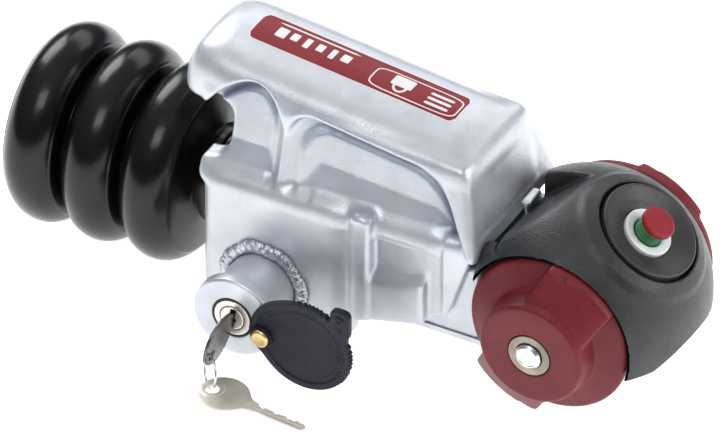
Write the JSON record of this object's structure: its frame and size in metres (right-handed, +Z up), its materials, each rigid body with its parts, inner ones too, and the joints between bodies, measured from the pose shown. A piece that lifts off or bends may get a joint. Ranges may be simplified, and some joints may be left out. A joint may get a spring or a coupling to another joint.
{
  "type": "trailer coupler lock",
  "caption": "Cast lock casing on a stabiliser ball coupling head, with key lock, keys, dust cover, red friction knobs, indicator and rubber gaiter.",
  "frame": {"origin": "middle of the base of the bounding box, on the surface that the gaiter and the two knobs stand on", "axes": "+X forward along the draw tube, pitched 2.5 degrees nose-down as it stands; +Y to the side away from the lock; +Z up"},
  "size_m": [0.3157, 0.1592, 0.1251],
  "materials": {
    "cast_head": "cast, satin",
    "cast_casing": "fine cast, satin silver",
    "black_paint": "gloss black paint",
    "gaiter_rubber": "moulded, glossy black",
    "zinc": "zinc plated",
    "bright_steel": "bright turned steel",
    "friction_lining": "pressed friction lining",
    "seal_rubber": "matt black",
    "brass": "polished",
    "charcoal_plastic": "grained charcoal",
    "white_plastic": "moulded white",
    "nickel": "nickel plated",
    "key_steel": "dark nickel",
    "navy_plastic": "moulded, fine grain",
    "red_plastic": "moulded dark red",
    "red_cap": "moulded red",
    "green_plastic": "moulded green"
  },
  "bodies": {
    "root": {"coupling_head": "cast_head", "draw_tube": "black_paint", "gaiter_bellows": "gaiter_rubber", "gaiter_clamp": "gaiter_rubber", "clamp_bolt_rear": "zinc", "clamp_bolt_front": "zinc", "clamp_nut_rear": "zinc", "clamp_nut_front": "zinc", "socket_lining": "friction_lining", "handle_pivot": "bright_steel", "latch_spring": "bright_steel", "lock_casing": "cast_casing", "lock_barrel": "cast_casing", "weld_bead": "cast_casing", "barrel_seal": "seal_rubber", "plunger_spring": "bright_steel", "cover_rivet": "brass", "front_cover": "charcoal_plastic", "indicator_bezel": "charcoal_plastic", "indicator_collar": "white_plastic", "indicator_spring": "bright_steel"},
    "handle": {"coupling_handle": "black_paint"},
    "latch": {"latch_pawl": "bright_steel"},
    "plunger": {"lock_plunger": "nickel"},
    "plug": {"key_plug": "nickel"},
    "key": {"lock_key": "key_steel"},
    "ring": {"key_ring": "bright_steel"},
    "spare": {"spare_key": "nickel"},
    "dust_cover": {"dust_cover": "navy_plastic"},
    "near_knob": {"near_knob": "red_plastic", "near_washer": "zinc", "near_spindle": "bright_steel"},
    "near_pad": {"near_pad": "friction_lining"},
    "far_knob": {"far_knob": "red_plastic", "far_washer": "zinc", "far_spindle": "bright_steel"},
    "far_pad": {"far_pad": "friction_lining"},
    "indicator": {"indicator_pin": "green_plastic", "indicator_cap": "red_cap"}
  },
  "joints": [
    {"name": "handle_lift", "type": "hinge", "parent": "root", "child": "handle", "pos_m": [0.05318, 0.0236, 0.06785], "axis": [0, 1, 0], "range_deg": [0, 6]},
    {"name": "latch_slide", "type": "slide", "parent": "root", "child": "latch", "axis": [-0.999, 0, 0.0441], "range_m": [0, 0.0027], "deforming": ["latch_spring"]},
    {"name": "plunger_slide", "type": "slide", "parent": "root", "child": "plunger", "axis": [0, -1, 0], "range_m": [0, 0.016], "deforming": ["plunger_spring"]},
    {"name": "plug_turn", "type": "hinge", "parent": "plunger", "child": "plug", "pos_m": [-0.0268, -0.0444, 0.02484], "axis": [0, 1, 0], "range_deg": [0, 90]},
    {"name": "key_withdraw", "type": "slide", "parent": "plug", "child": "key", "axis": [0, -1, 0], "range_m": [0, 0.02]},
    {"name": "ring_swing", "type": "hinge", "parent": "key", "child": "ring", "pos_m": [-0.0285, -0.0615, 0.01651], "axis": [0.999, 0, -0.0441], "range_deg": [-10, 10]},
    {"name": "spare_swing", "type": "hinge", "parent": "ring", "child": "spare", "pos_m": [-0.02413, -0.06824, 0.00423], "axis": [0, 1, 0], "range_deg": [-8, 4]},
    {"name": "dust_cover_swing", "type": "hinge", "parent": "root", "child": "dust_cover", "pos_m": [-0.01056, -0.0469, 0.02322], "axis": [0, -1, 0], "range_deg": [-5, 30]},
    {"name": "near_knob_turn", "type": "hinge", "parent": "root", "child": "near_knob", "pos_m": [0.10591, 0.0236, 0.038], "axis": [0, 1, 0], "range_deg": [0, 90]},
    {"name": "near_pad_slide", "type": "slide", "parent": "root", "child": "near_pad", "axis": [0, 1, 0], "range_m": [0, 0.0016]},
    {"name": "far_knob_turn", "type": "hinge", "parent": "root", "child": "far_knob", "pos_m": [0.10591, 0.0236, 0.038], "axis": [0, -1, 0], "range_deg": [0, 90]},
    {"name": "far_pad_slide", "type": "slide", "parent": "root", "child": "far_pad", "axis": [0, -1, 0], "range_m": [0, 0.0016]},
    {"name": "indicator_press", "type": "slide", "parent": "root", "child": "indicator", "axis": [-0.616, 0, -0.7877], "range_m": [0, 0.0042], "stiffness_N_per_m": 400, "springref_m": -0.004, "deforming": ["indicator_spring"]}
  ],
  "couplings": [
    {"joint": "latch_slide", "follows": "handle_lift", "m_per_rad": 0.0239},
    {"joint": "near_pad_slide", "follows": "near_knob_turn", "m_per_rad": 0.00095},
    {"joint": "far_pad_slide", "follows": "far_knob_turn", "m_per_rad": 0.00095}
  ]
}
